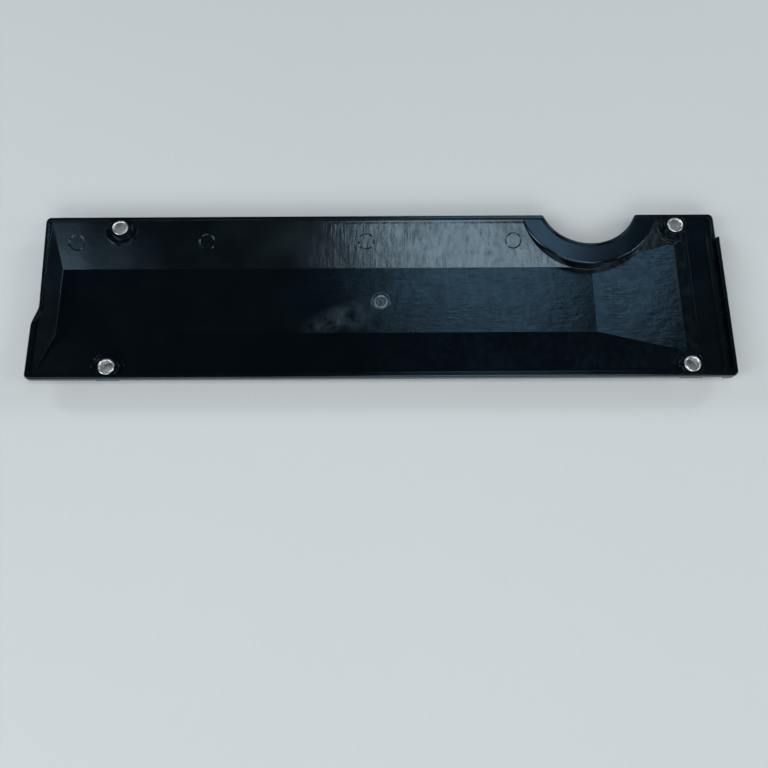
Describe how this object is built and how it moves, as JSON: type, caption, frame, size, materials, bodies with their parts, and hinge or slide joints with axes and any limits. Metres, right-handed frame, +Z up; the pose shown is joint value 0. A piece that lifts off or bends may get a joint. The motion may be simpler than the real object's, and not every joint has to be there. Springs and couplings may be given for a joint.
{
  "type": "ignition coil cover",
  "caption": "Shallow moulded plastic cover for a row of ignition coils, lying open side up, with metal screw sleeves and a round notch for the oil filler.",
  "frame": {"origin": "middle of the part's bounding box in plan, on the surface that the show face lies on", "axes": "+X along the cover towards the ramp, the end channel and the filler notch's end; +Y across it towards the edge with the filler notch; +Z up from the show face to the open side and the screw sleeves' clamping faces"},
  "size_m": [0.4012, 0.101, 0.0118],
  "materials": {
    "moulding": "black glass-filled nylon, satin, lightly scuffed",
    "sleeve": "turned steel, bright zinc plate"
  },
  "bodies": {
    "root": {"cover_shell": "moulding", "sleeve_rear_left": "sleeve", "sleeve_front_left": "sleeve", "sleeve_rear_right": "sleeve", "sleeve_front_right": "sleeve"}
  },
  "joints": []
}
